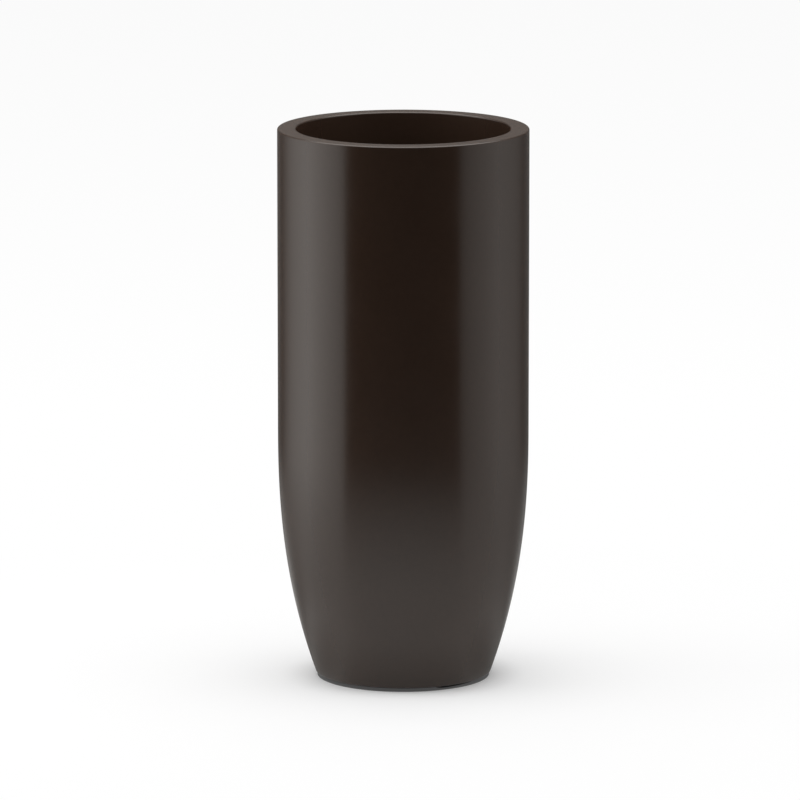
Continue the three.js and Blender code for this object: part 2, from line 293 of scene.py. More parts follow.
def copy_turned(piece, angle):
    """A copy with its own mesh, turned about the planter's axis."""
    pick(piece)
    bpy.ops.object.duplicate()
    bpy.ops.transform.rotate(value=angle, orient_axis="Z", center_override=(0, 0, 0))
    return bpy.context.object


def merge_all(pieces, name):
    """Join separate solids into one object."""
    pick(pieces[0])
    for piece in pieces[1:]:
        piece.select_set(True)
    bpy.ops.object.join()
    joined = bpy.context.object
    joined.name = joined.data.name = name
    settle(joined)
    return joined


def bevel_edges(piece, wanted, offset, segments):
    """Round the edges whose two ends pass a test."""
    pick(piece)
    bpy.ops.object.mode_set(mode="EDIT")
    bpy.ops.mesh.select_mode(type="EDGE")
    bpy.ops.mesh.select_all(action="DESELECT")
    mesh = bmesh.from_edit_mesh(piece.data)
    for edge in mesh.edges:
        if wanted(*(vertex.co for vertex in edge.verts)):
            edge.select_set(True)
    bmesh.update_edit_mesh(piece.data)
    bpy.ops.mesh.bevel(offset=offset, segments=segments, affect="EDGES")
    bpy.ops.mesh.select_mode(type="VERT")
    bpy.ops.object.mode_set(mode="OBJECT")


def block(place, scale, turned=0.0):
    """A plain block, to shape or to cut with."""
    deselect()
    bpy.ops.mesh.primitive_cube_add(size=1, location=place, rotation=(0, 0, turned))
    made = bpy.context.object
    made.scale = scale
    settle(made)
    return made


def dress(piece, body, slot, nodes, *finishes, smooth=35):
    """Shade a finished piece, give it its finishes and tie it to the CAD."""
    settle(piece)
    bpy.ops.object.shade_smooth_by_angle(angle=math.radians(smooth))
    piece.data.materials.clear()
    for finish in finishes:
        piece.data.materials.append(finish_for(finish))
    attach(piece, body)
    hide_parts(*nodes)


def middle(node):
    low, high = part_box(node)
    return (low + high) / 2


# ---- Node building ---------------------------------------------------------

# What a shared effect's socket carries, by its name; the rest are plain values.
SOCKET_KINDS = {"Vector": "NodeSocketVector", "Colour": "NodeSocketColor"}
# The factor, first, second and result of a Mix node, by what it mixes.
MIX_SOCKETS = {"RGBA": (0, 6, 7, 2), "FLOAT": (0, 2, 3, 0)}


class Nodes:
    """Short calls for building a node tree."""

    def __init__(self, tree):
        self.tree = tree

    def send(self, value, socket):
        """Link a value to a socket, or set a plain one on it."""
        if isinstance(value, bpy.types.NodeSocket):
            self.tree.links.new(value, socket)
        else:
            socket.default_value = value

    def add(self, kind, inputs=None, **settings):
        node = self.tree.nodes.new(kind)
        for name, value in settings.items():
            setattr(node, name, value)
        for name, value in (inputs or {}).items():
            self.send(value, node.inputs[name])
        return node

    def math(self, operation, first, second=0.0, third=0.0, clamp=False):
        values = {0: first, 1: second, 2: third}
        return self.add("ShaderNodeMath", values, operation=operation, use_clamp=clamp).outputs[0]

    def weigh(self, first, share, second):
        """First times its share, and second times the rest."""
        rest = self.math("MULTIPLY", second, 1.0 - share)
        return self.math("MULTIPLY_ADD", first, share, rest)

    def spread(self, value, low, high, to_low=0.0, to_high=1.0, kind="LINEAR"):
        """Map a value's range onto another, clamped."""
        values = {"Value": value, "From Min": low, "From Max": high, "To Min": to_low, "To Max": to_high}
        return self.add("ShaderNodeMapRange", values, interpolation_type=kind).outputs["Result"]

    def noise(self, vector, scale, detail=2.0, roughness=0.5):
        values = {"Vector": vector, "Scale": scale, "Detail": detail, "Roughness": roughness}
        return self.add("ShaderNodeTexNoise", values).outputs["Fac"]

    def mix(self, kind, factor, first, second):
        """Mix two colours or two plain values."""
        *sockets, result = MIX_SOCKETS[kind]
        values = dict(zip(sockets, (factor, first, second)))
        return self.add("ShaderNodeMix", values, data_type=kind).outputs[result]

    def place(self, vector, scale=(1, 1, 1), rotation=(0, 0, 0)):
        values = {"Vector": vector, "Scale": scale, "Rotation": rotation}
        return self.add("ShaderNodeMapping", values).outputs["Vector"]

    def parts(self, vector):
        return self.add("ShaderNodeSeparateXYZ", {0: vector}).outputs

    def distance(self, vector):
        """How far a place is from the origin."""
        return self.add("ShaderNodeVectorMath", {0: vector}, operation="LENGTH").outputs["Value"]


def effect(name, takes, gives):
    """Start a shared effect with named inputs and outputs."""
    tree = bpy.data.node_groups.new(name, "ShaderNodeTree")
    for way, labels in (("INPUT", takes), ("OUTPUT", gives)):
        for label in labels:
            kind = SOCKET_KINDS.get(label, "NodeSocketFloat")
            tree.interface.new_socket(name=label, in_out=way, socket_type=kind)
    nodes = Nodes(tree)
    return nodes, nodes.add("NodeGroupInput").outputs, nodes.add("NodeGroupOutput").inputs


def build_clouding(name):
    """Soft clouds of lighter and darker tone, as pigment lies in a moulded skin."""
    nodes, entry, leave = effect(name, ("Vector", "Colour", "Cloud scale", "Depth"), ("Colour",))
    wide = nodes.noise(entry["Vector"], entry["Cloud scale"], 3.0, 0.55)
    fine = nodes.noise(entry["Vector"], nodes.math("MULTIPLY", entry["Cloud scale"], 24.0), 2.0, 0.6)
    tone = nodes.weigh(fine, 0.35, wide)
    depth = nodes.math("MULTIPLY", entry["Depth"], 4.0)
    swing = nodes.math("MULTIPLY", nodes.math("SUBTRACT", tone, 0.5), depth)
    scale = nodes.add("ShaderNodeVectorMath", {0: entry["Colour"]}, operation="SCALE")
    nodes.send(nodes.math("ADD", swing, 1.0), scale.inputs["Scale"])
    nodes.send(scale.outputs["Vector"], leave["Colour"])


def build_dust(name):
    """A thin film on what faces up, and sparse specks everywhere."""
    nodes, entry, leave = effect(name, ("Vector", "Film", "Specks"), ("Mask",))
    facing = nodes.parts(nodes.add("ShaderNodeNewGeometry").outputs["Normal"])
    up = nodes.spread(facing["Z"], 0.2, 1.0)
    patches = nodes.spread(nodes.noise(entry["Vector"], 30.0, 4.0, 0.6), 0.35, 0.75)
    film = nodes.math("MULTIPLY", nodes.math("MULTIPLY", up, patches), entry["Film"])
    cells = nodes.add("ShaderNodeTexVoronoi", {"Vector": entry["Vector"], "Scale": 420.0})
    dot = nodes.spread(cells.outputs["Distance"], 0.16, 0.08)
    chosen = nodes.add("ShaderNodeSeparateColor", {0: cells.outputs["Color"]})
    rare = nodes.spread(chosen.outputs["Red"], 0.93, 0.96)
    settled = nodes.spread(facing["Z"], -0.2, 1.0, 0.12, 1.0)
    specks = nodes.math("MULTIPLY", nodes.math("MULTIPLY", dot, rare), settled)
    specks = nodes.math("MULTIPLY", specks, entry["Specks"])
    nodes.send(nodes.math("ADD", film, specks, clamp=True), leave["Mask"])


def build_skin_relief(name):
    """Orange peel over a slow ripple, as on gelcoat from a polished mould."""
    nodes, entry, leave = effect(name, ("Vector", "Peel", "Ripple"), ("Height", "Sheen"))
    peel = nodes.math("MULTIPLY", nodes.noise(entry["Vector"], 520.0, 2.0, 0.5), entry["Peel"])
    ripple = nodes.math("MULTIPLY", nodes.noise(entry["Vector"], 26.0, 1.0, 0.4), entry["Ripple"])
    nodes.send(nodes.math("ADD", peel, ripple), leave["Height"])
    nodes.send(nodes.noise(entry["Vector"], 14.0, 5.0, 0.62), leave["Sheen"])


def build_glass_mat(name):
    """Chopped glass strands lying every way, wetted out in resin."""
    nodes, entry, leave = effect(name, ("Vector", "Strand scale"), ("Height", "Strands"))
    over = 0.0
    for turned in (0.3, 1.1, 1.9, 2.7):
        laid = nodes.place(entry["Vector"], rotation=(turned * 0.4, turned * 0.7, turned))
        drawn_out = nodes.place(laid, scale=(1.0, 0.05, 0.3))
        layer = nodes.spread(nodes.noise(drawn_out, entry["Strand scale"], 1.0, 0.4), 0.58, 0.70)
        over = nodes.math("MAXIMUM", layer, over)
    pooled = nodes.noise(entry["Vector"], 45.0, 3.0, 0.5)
    nodes.send(nodes.weigh(over, 0.45, pooled), leave["Height"])
    nodes.send(nodes.math("MULTIPLY", over, nodes.spread(pooled, 0.35, 0.65)), leave["Strands"])


def build_moulding(name):
    """Fine spark-eroded texture with faint flow marks, as on moulded plastic or rubber."""
    nodes, entry, leave = effect(name, ("Vector", "Grain scale"), ("Height", "Tone"))
    grain = nodes.noise(entry["Vector"], entry["Grain scale"], 2.0, 0.6)
    flow = nodes.noise(nodes.place(entry["Vector"], (1.0, 0.25, 1.0)), 60.0, 3.0, 0.6)
    nodes.send(grain, leave["Height"])
    nodes.send(nodes.weigh(flow, 0.7, grain), leave["Tone"])


def build_plies(name):
    """Veneers through the thickness, each with its own grain."""
    nodes, entry, leave = effect(name, ("Vector", "Ply thickness"), ("Dark", "Height"))
    layer = nodes.math("DIVIDE", nodes.parts(entry["Vector"])["Z"], entry["Ply thickness"])
    odd = nodes.spread(nodes.math("PINGPONG", layer, 1.0), 0.45, 0.55)
    along = nodes.noise(nodes.place(entry["Vector"], (6.0, 120.0, 60.0)), 3.0, 4.0, 0.6)
    across = nodes.noise(nodes.place(entry["Vector"], (120.0, 6.0, 60.0)), 3.0, 4.0, 0.6)
    grain = nodes.mix("FLOAT", odd, along, across)
    nodes.send(nodes.weigh(nodes.spread(grain, 0.42, 0.68), 0.7, odd), leave["Dark"])
    nodes.send(grain, leave["Height"])


# ---- Finishes --------------------------------------------------------------


def rgba(value):
    return (*value, 1.0)


class Finish:
    """A material with one Principled BSDF, whose plain values are set on its own sockets."""

    def __init__(self, name, colours, **constants):
        self.material = bpy.data.materials.new(name)
        self.material.use_nodes = True
        self.nodes = Nodes(self.material.node_tree)
        self.shader = self.material.node_tree.nodes["Principled BSDF"]
        self.dust_colour = rgba(colours.dust)
        for label, value in constants.items():
            self.shader.inputs[label].default_value = value
        self.where = self.nodes.add("ShaderNodeTexCoord").outputs["Object"]

    def effect(self, name, build, **inputs):
        """Place a shared effect, which is built the first time that it is asked for."""
        if name not in bpy.data.node_groups:
            build(name)
        values = {label.replace("_", " "): value for label, value in inputs.items()}
        values["Vector"] = self.where
        return self.nodes.add("ShaderNodeGroup", values, node_tree=bpy.data.node_groups[name]).outputs

    def clouded(self, tone, scale, depth):
        return self.effect("clouding", build_clouding, Colour=tone, Cloud_scale=scale, Depth=depth)["Colour"]

    def dust(self, film, specks):
        return self.effect("dust", build_dust, Film=film, Specks=specks)["Mask"]

    def wire(self, tone, rough, height, depth, dust=None):
        """Lay dust over the tone if there is any, and wire up the shader."""
        if dust is not None:
            tone = self.nodes.mix("RGBA", dust, tone, self.dust_colour)
        bump = self.nodes.add("ShaderNodeBump", {"Height": height, "Distance": depth, "Strength": 1.0})
        self.nodes.send(tone, self.shader.inputs["Base Color"])
        self.nodes.send(rough, self.shader.inputs["Roughness"])
        self.nodes.send(bump.outputs["Normal"], self.shader.inputs["Normal"])
        return self.material


def gelcoat_finish(colours):
    coat = Finish("satin brown gelcoat", colours, IOR=1.5)
    tone = coat.clouded(rgba(colours.gelcoat), 5.0, 0.10)
    dust = coat.dust(0.035, 0.25)
    skin = coat.effect("skin relief", build_skin_relief, Peel=0.35, Ripple=1.0)
    rough = coat.nodes.spread(skin["Sheen"], 0.3, 0.7, 0.19, 0.23)
    rough = coat.nodes.math("MULTIPLY_ADD", dust, 0.8, rough)
    return coat.wire(tone, rough, skin["Height"], 0.00003, dust)


def laminate_finish(colours):
    coat = Finish("flow-coated laminate", colours, IOR=1.5)
    mat = coat.effect("glass mat", build_glass_mat, Strand_scale=150.0)
    tone = coat.clouded(rgba(colours.laminate), 14.0, 0.22)
    dust = coat.dust(0.10, 0.5)
    seen = coat.nodes.math("MULTIPLY", mat["Strands"], 0.6)
    fibre = coat.nodes.mix("RGBA", seen, tone, rgba(colours.strands))
    rough = coat.nodes.spread(mat["Height"], 0.2, 0.8, 0.62, 0.42)
    return coat.wire(fibre, rough, mat["Height"], 0.0004, dust)


def plywood_finish(colours):
    wood = Finish("base plywood", colours, IOR=1.45)
    plies = wood.effect("plies", build_plies, Ply_thickness=0.0024)
    tone = wood.nodes.mix("RGBA", plies["Dark"], rgba(colours.plywood), rgba(colours.plywood_dark))
    rough = wood.nodes.spread(plies["Height"], 0.3, 0.7, 0.72, 0.58)
    return wood.wire(wood.clouded(tone, 18.0, 0.10), rough, plies["Height"], 0.0002)


def moulded_finish(name, tone, colours, rough, grain, film):
    mass = Finish(name, colours, IOR=1.5)
    mould = mass.effect("moulding", build_moulding, Grain_scale=grain)
    cloud = mass.clouded(rgba(tone), 22.0, 0.14)
    dust = mass.dust(film, 0.5)
    uneven = mass.nodes.spread(mould["Tone"], 0.3, 0.7, rough - 0.06, rough + 0.06)
    return mass.wire(cloud, uneven, mould["Height"], 0.00012, dust)


def zinc_finish(colours):
    metal = Finish("zinc plate", colours, Metallic=1.0)
    mould = metal.effect("moulding", build_moulding, Grain_scale=2600.0)
    tone = metal.clouded(rgba(colours.zinc), 260.0, 0.12)
    rough = metal.nodes.spread(mould["Tone"], 0.3, 0.7, 0.26, 0.42)
    return metal.wire(tone, rough, mould["Height"], 0.00003)


def plate_finish(colours):
    return moulded_finish("moulded plate plastic", colours.plastic, colours, 0.50, 1100.0, 0.10)


def drain_finish(colours):
    return moulded_finish("moulded drain plastic", colours.plastic, colours, 0.42, 1800.0, 0.06)


def rubber_finish(colours):
    return moulded_finish("moulded rubber", colours.rubber, colours, 0.74, 1500.0, 0.05)


FINISHES = {
    "gelcoat": gelcoat_finish,
    "laminate": laminate_finish,
    "plywood": plywood_finish,
    "zinc": zinc_finish,
    "plate plastic": plate_finish,
    "drain plastic": drain_finish,
    "rubber": rubber_finish,
}
built = {}


def finish_for(name):
    """Each finish is built once and shared by its pieces."""
    if name not in built:
        built[name] = FINISHES[name](bpy.context.scene.planter_colours)
    return built[name]


# ---- Skin ------------------------------------------------------------------


def drain_hole(base):
    """Radius of the hole that the drain sleeve passes through."""
    return base.drain_radius + base.sleeve_wall + GAP


def skin_profile(size, base):
    """Half section of shell and rim as one moulding, from the drain hole out and round."""
    bottom, floor = size.shell_bottom, size.shell_bottom + size.bottom_thickness
    taper_top = bottom + size.taper_height
    hole = drain_hole(base)
    slope = wall_slope(size, bottom)
    lean = math.degrees(math.atan(slope))
    foot_centre = size.foot_radius + slope * size.foot_round - size.foot_round * math.hypot(1, slope)
    foot = arc(foot_centre, bottom + size.foot_round, size.foot_round, -90, -lean)

    top, outer, inner = size.body_height, size.rim_outer_round, size.rim_inner_round
    mouth = size.body_radius - size.rim_width
    back = mouth + size.return_thickness
    low, edge = RIM_LOW.z, 0.0015
    under = top - size.rim_thickness
    fillet = size.return_fillet
    wall = size.body_radius - size.wall_thickness
    lap = wall - size.lap_thickness
    lap_bottom = under - size.lap_height
    lap_chamfer, nick = 0.0006, 0.0002

    return [
        (hole, bottom),
        *[(radius, bottom) for radius in levels(hole + FLAT_START, foot_centre - 0.001, 6)],
        *foot,
        *[(outer_radius(size, height), height) for height in levels(foot[-1][1], taper_top, 44)[1:]],
        *[(size.body_radius, height) for height in levels(taper_top, top - outer - HOLD, 10)[1:]],
        *rounded(size.body_radius, top, outer, 0),
        *[(radius, top) for radius in levels(size.body_radius - outer - HOLD, mouth + inner + HOLD, 4)],
        *rounded(mouth, top, inner, 90, 6),
        *[(mouth, height) for height in levels(top - inner - HOLD, low + edge + HOLD, 5)],
        *rounded(mouth, low, edge, 180, 6),
        *rounded(back, low, edge, 270, 6),
        *[(back, height) for height in levels(low + edge + HOLD, under - fillet - HOLD, 4)],
        *arc(back + fillet, under - fillet, fillet, 180, 90),
        (lap - nick, under),
        (lap, under - nick),
        (lap, lap_bottom + lap_chamfer),
        (lap + lap_chamfer, lap_bottom),
        (wall - nick, lap_bottom),
        (wall, lap_bottom - nick),
        *[(wall, height) for height in levels(lap_bottom - 0.010, taper_top, 8)],
        *[(inner_radius(size, height), height) for height in levels(taper_top, floor, 40)[1:]],
        (hole, floor),
    ]


def peg(name, radius, low, high, x=0.0, y=0.0, facets=32):
    """A plain upright pin, to shape or to drill with."""
    deselect()
    bpy.ops.mesh.primitive_cylinder_add(
        vertices=facets, radius=radius, depth=high - low, location=(x, y, (low + high) / 2)
    )
    pin = bpy.context.object
    pin.name = pin.data.name = name
    return pin


def drill_for_screws(piece, radius, low, high):
    """Drill a piece where each foot screw passes."""
    places = [middle(node) for node in SCREW_NODES]
    pins = [peg("drill", radius, low, high, at.x, at.y) for at in places]
    combine(piece, merge_all(pins, "drills"), "DIFFERENCE")


def paint_laminate(piece, size):
    """Give the second finish to the side that the mould didn't touch."""
    mouth = size.body_radius - size.rim_width
    under = size.body_height - size.rim_thickness
    # How far a face's centre lies inside the shell's outer and the return's inner side, at least,
    # and how high over the underside, when it belongs to the unmoulded side.
    in_wall, in_return, over_bottom, slack = 0.004, 0.0047, 0.003, 0.0005
    pick(piece)
    bpy.ops.object.mode_set(mode="EDIT")
    bpy.ops.mesh.select_all(action="DESELECT")
    mesh = bmesh.from_edit_mesh(piece.data)
    for face in mesh.faces:
        centre = face.calc_center_median()
        radius, height = math.hypot(centre.x, centre.y), centre.z
        below = height < RIM_LOW.z - slack and radius < outer_radius(size, height) - in_wall
        behind = height > RIM_LOW.z and mouth + in_return < radius < size.body_radius - in_wall
        if size.shell_bottom + over_bottom < height < under + slack and (below or behind):
            face.select_set(True)
    bmesh.update_edit_mesh(piece.data)
    piece.active_material_index = 1
    bpy.ops.object.material_slot_assign()
    bpy.ops.object.mode_set(mode="OBJECT")


class PLANTER_OT_skin(bpy.types.Operator):
    """Spin the shell and its turned rim as one moulded skin"""

    bl_idname = "planter.skin"
    bl_label = "Shell and Rim"

    def execute(self, context):
        size, feet = context.scene.planter_shell, context.scene.planter_feet
        skin = turn("planter_skin", skin_profile(size, context.scene.planter_base), size.turns)
        through = size.shell_bottom + size.bottom_thickness + DRILL_OVER
        drill_for_screws(skin, feet.shank_bore, size.shell_bottom - DRILL_OVER, through)
        dress(skin, "planter", "gelcoat", ["outer_shell", "rim_ring"], "gelcoat", "laminate")
        paint_laminate(skin, size)
        return {"FINISHED"}


# ---- Base ------------------------------------------------------------------


class PLANTER_OT_base(bpy.types.Operator):
    """Lay the plywood core and the inner floor into the shell"""

    bl_idname = "planter.base"
    bl_label = "Base Core and Inner Floor"

    def execute(self, context):
        size, base = context.scene.planter_shell, context.scene.planter_base
        hole = drain_hole(base)

        def wall(height):
            return inner_radius(size, height) - GAP

        low, high = CORE_LOW.z, CORE_HIGH.z
        ease = 0.0006
        core = turn("plywood_core", [
            (hole, low),
            (wall(low) - ease, low),
            (wall(low + ease), low + ease),
            (wall(high - ease), high - ease),
            (wall(high) - ease, high),
            (hole, high),
        ], 192)
        bore = context.scene.planter_feet.shank_bore
        drill_for_screws(core, bore, low - DRILL_OVER, SCREW_HIGH.z + GAP)
        dress(core, "planter", "plywood", ["base_core"], "plywood")

        low, cove_top = FLOOR_LOW.z, FLOOR_HIGH.z
        top = low + base.floor_thickness
        lap_ease = 0.0008
        lap = wall(cove_top) - base.cove_thickness
        cove_centre = lap - base.cove
        floor = turn("inner_floor", [
            (hole, low),
            *[(wall(height), height) for height in levels(low, cove_top - lap_ease, 6)],
            (wall(cove_top) - lap_ease, cove_top),
            (lap + lap_ease, cove_top),
            *arc(cove_centre, cove_top, base.cove, -4, -90, 12),
            *[(radius, top) for radius in levels(cove_centre - 0.0010, hole + FLAT_START, 6)],
            (hole, top),
        ], 192)
        dress(floor, "planter", "laminate", ["base_floor"], "laminate")
        return {"FINISHED"}


# ---- Drain -----------------------------------------------------------------


class PLANTER_OT_drain(bpy.types.Operator):
    """Fit the drain sleeve and its rubber stopper"""

    bl_idname = "planter.drain"
    bl_label = "Drain Sleeve and Plug"

    def execute(self, context):
        base = context.scene.planter_base
        bore = base.drain_radius
        wall = bore + base.sleeve_wall
        low, high = SLEEVE_LOW.z, SLEEVE_HIGH.z
        seat = high - base.flange_thickness
        rim = SLEEVE_HIGH.x
        ease, lip = 0.0005, 0.0014
        sleeve = turn("drain_bush", [
            *rounded(bore, low, ease, 180, 3),
            *rounded(wall, low, ease, 270, 3),
            (wall, seat - 0.0003),
            (wall + 0.0003, seat),
            *rounded(rim, seat, 0.0004, 270, 3),
            *rounded(rim, high, lip, 0, 6),
            (rim - 0.0030, high),
            (bore + lip, high),
            *rounded(bore, high, 0.0010, 90, 4),
        ], 96)
        dress(sleeve, "planter", "drain_plastic", ["drain_sleeve"], "drain plastic")

        foot, top = PLUG_LOW.z, PLUG_HIGH.z
        head_low = high + GAP
        head_high = head_low + base.plug_head
        stem, head = bore - GAP, PLUG_HIGH.x
        stem_end, stem_round = stem - base.plug_taper, 0.0008
        neck, knob = 0.0050, top - base.plug_knob / 3
        plug = turn("drain_stopper", [
            (0.0, foot),
            (stem_end - stem_round - HOLD, foot),
            *arc(stem_end - stem_round, foot + stem_round, stem_round, -80, 0, 4),
            (stem - 0.0002, head_low - 0.0006),
            (stem + 0.0001, head_low),
            *rounded(head, head_low, 0.0006, 270, 4),
            *rounded(head, head_high, lip, 0, 6),
            (neck + 0.0028, head_high),
            *arc(neck + 0.0028, head_high + 0.0028, 0.0028, 270, 190, 8),
            (neck, knob - 0.0045),
            (neck + 0.0012, knob - 0.0030),
            *arc(0.0046, knob + 0.0006, 0.0034, -35, 80, 12),
            (0.0034, top),
            (0.0, top),
        ], 96, closed=False)
        dress(plug, "stopper", "plug_rubber", ["drain_plug"], "rubber")
        return {"FINISHED"}


# ---- Drainage plate --------------------------------------------------------


RIB_COUNT = 8
RIB_SECTOR = 360 / RIB_COUNT
CENTRE_HOLES = 6
HOLE_RINGS = 3
# The ring and the ribs at which a finger hole takes the place of the drainage holes.
FINGER_RING, FINGER_EVERY = 1, 4


def plate_holes(sizes):
    """Azimuth from the front, distance from the axis and radius of every hole."""
    spokes = levels(0, 360, CENTRE_HOLES)[:-1]
    holes = [(RIB_SECTOR / 2 + spoke, sizes.hub_radius * 0.6, sizes.hole_radius) for spoke in spokes]
    for rib in range(RIB_COUNT):
        for ring in range(HOLE_RINGS):
            away = sizes.hub_radius + sizes.ring_pitch * (ring + 0.75)
            finger = ring == FINGER_RING and rib % FINGER_EVERY == 0
            count = 1 if finger else ring + 1
            radius = sizes.finger_radius if finger else sizes.hole_radius
            for step in range(count):
                holes.append(((rib + (step + 0.5) / count) * RIB_SECTOR, away, radius))
    return holes


def hole_cutter(radius, low, high, ease):
    """A pin that flares at both ends, so that the hole it leaves has eased edges."""
    over = 0.0002
    flare = radius + ease + over
    return turn("cutter", [
        (0.0, low - over),
        (flare, low - over),
        (radius, low + ease),
        (radius, high - ease),
        (flare, high + over),
        (0.0, high + over),
    ], 40, closed=False)


def rib_set(sizes, low, high, end):
    """Radial ribs with rounded lower edges and outer ends."""
    start = sizes.hub_radius - sizes.rib_thickness / 2
    near = 0.0001
    rib = block((0, -(start + end) / 2, (low + high) / 2), (sizes.rib_thickness, end - start, high - low))
    bevel_edges(
        rib, lambda one, other: max(one.z, other.z) < low + near or max(one.y, other.y) < near - end,
        0.0008, 3,
    )
    turned = [math.radians(RIB_SECTOR * count) for count in range(1, RIB_COUNT)]
    return merge_all([rib, *(copy_turned(rib, angle) for angle in turned)], "ribs")


class PLANTER_OT_plate(bpy.types.Operator):
    """Mould the drainage plate, with its holes, finger holes and ribs"""

    bl_idname = "planter.plate"
    bl_label = "Drainage Plate"

    def execute(self, context):
        sizes = context.scene.planter_plate
        top, bottom = PLATE_HIGH.z, PLATE_HIGH.z - sizes.thickness
        edge = PLATE_HIGH.x
        rib_low, rib_high = PLATE_LOW.z, top - sizes.thickness / 2

        plate = peg("perforated_plate", edge, bottom, top, facets=256)
        settle(plate)
        bevel_edges(plate, lambda one, other: abs(one.z - other.z) < 0.0001, 0.0012, 4)
        ribs = rib_set(sizes, rib_low, rib_high, edge - sizes.cleat_reach - 0.0045)
        combine(plate, ribs, "UNION")

        hub, hub_inner = sizes.hub_radius, sizes.hub_radius - sizes.rib_thickness
        ease = 0.0006
        hub_high = rib_high - GAP
        ring = turn("hub", [
            (hub_inner, rib_low + ease),
            (hub_inner + ease, rib_low),
            (hub - ease, rib_low),
            (hub, rib_low + ease),
            (hub, hub_high),
            (hub_inner, hub_high),
        ], 96)
        combine(plate, ring, "UNION")

        small = hole_cutter(sizes.hole_radius, bottom, top, 0.0006)
        large = hole_cutter(sizes.finger_radius, bottom, top, 0.0014)
        cutters = []
        for azimuth, away, radius in plate_holes(sizes):
            angle = math.radians(azimuth)
            offset = (away * math.sin(angle), -away * math.cos(angle), 0)
            cutters.append(copy_at(large if radius > sizes.hole_radius else small, offset))
        bpy.data.objects.remove(small)
        bpy.data.objects.remove(large)
        combine(plate, merge_all(cutters, "cutters"), "DIFFERENCE")
        dress(plate, "lift_out_plate", "plate_plastic", ["drainage_plate"], "plate plastic", smooth=30)
        return {"FINISHED"}


def turned_from_right(node):
    """How many whole degrees a node lies round from the planter's right side."""
    at = middle(node)
    return round(math.degrees(math.atan2(at.y, at.x))) % 360


class PLANTER_OT_cleats(bpy.types.Operator):
    """Lay up the four cleats that carry the drainage plate"""

    bl_idname = "planter.cleats"
    bl_label = "Support Cleats"

    def execute(self, context):
        size, sizes = context.scene.planter_shell, context.scene.planter_plate
        depth, over = 0.030, 0.02
        high = CLEAT_HIGH.z
        foot = high - depth
        lip = PLATE_HIGH.x - sizes.cleat_reach
        half = sizes.cleat_width / 2
        cleat = draw("cleat", [
            (lip, high),
            (lip, high - sizes.cleat_lip),
            (lip + sizes.cleat_reach, foot),
            (size.body_radius, foot),
            (size.body_radius, high),
        ])
        bpy.ops.mesh.edge_face_add()
        bpy.ops.transform.translate(value=(0, -half, 0))
        bpy.ops.mesh.extrude_region_move(TRANSFORM_OT_translate={"value": (0, 2 * half, 0)})
        bpy.ops.mesh.select_all(action="SELECT")
        bpy.ops.mesh.normals_make_consistent(inside=False)
        bpy.ops.object.mode_set(mode="OBJECT")
        settle(cleat)
        rising = levels(foot - over, high + over / 2, 8)
        space = turn("space", [
            (lip - over, foot - over),
            *[(inner_radius(size, height) - GAP, height) for height in rising],
            (lip - over, high + over / 2),
        ], 256)
        combine(cleat, space, "INTERSECT")
        angle_limit = math.radians(28)
        modify(cleat, "BEVEL", width=0.0014, segments=4, limit_method="ANGLE", angle_limit=angle_limit)
        for node in sorted(CLEAT_NODES, key=turned_from_right):
            made = copy_turned(cleat, -math.radians(turned_from_right(node)))
            settle(made)
            at = Vector(made.bound_box[0]) + Vector(made.bound_box[6])
            if (at / 2 - middle(node)).length > 0.004:
                raise RuntimeError("a cleat isn't where the CAD has it")
            made.name = made.data.name = f"plate_{node}"
            dress(made, "planter", "laminate", [node], "laminate", smooth=40)
        bpy.data.objects.remove(cleat)
        return {"FINISHED"}


# ---- Feet ------------------------------------------------------------------


def screw_thread(core, crest, low, pitch, turns):
    """A helical ridge with closed ends."""
    ridge = draw("thread", [
        (core, low),
        (crest, low + pitch * 0.28),
        (crest, low + pitch * 0.36),
        (core, low + pitch * 0.64),
    ])
    bpy.ops.object.mode_set(mode="OBJECT")
    settle(ridge)
    modify(ridge, "SCREW", axis="Z", angle=math.tau, screw_offset=pitch, iterations=turns,
           steps=20, render_steps=20, use_merge_vertices=False)
    bpy.ops.object.mode_set(mode="EDIT")
    bpy.ops.mesh.select_all(action="SELECT")
    bpy.ops.mesh.fill_holes(sides=8)
    bpy.ops.mesh.normals_make_consistent(inside=False)
    bpy.ops.object.mode_set(mode="OBJECT")
    return ridge


def make_screw(sizes):
    """A pan-head wood screw, point up, with a cross recess."""
    low, tip = SCREW_LOW.z, SCREW_HIGH.z
    head = (SCREW_HIGH.y - SCREW_LOW.y) / 2
    neck, core = 0.0021, 0.00145
    under = low + 0.0016
    nick = 0.0001
    screw = turn("screw", [
        (0.0, low),
        (0.0024, low),
        (0.0033, low + 0.00012),
        (0.0039, low + 0.00036),
        (0.0043, low + 0.00078),
        (head, low + 0.00115),
        (head, under - nick),
        (head - nick, under),
        (neck, under),
        (neck, under + 0.0030),
        (core, under + 0.0036),
        (core, tip - 0.0032),
        (0.0002, tip - nick),
        (0.0, tip),
    ], 48, closed=False)
    thread = screw_thread(core - 0.0003, neck - nick, under + 0.0032, sizes.thread_pitch, 8)
    combine(screw, thread, "UNION")
    for turned in (0, math.pi / 2):
        combine(screw, block((0, 0, low), (0.0042, 0.0009, 0.0020), turned), "DIFFERENCE")
    return screw


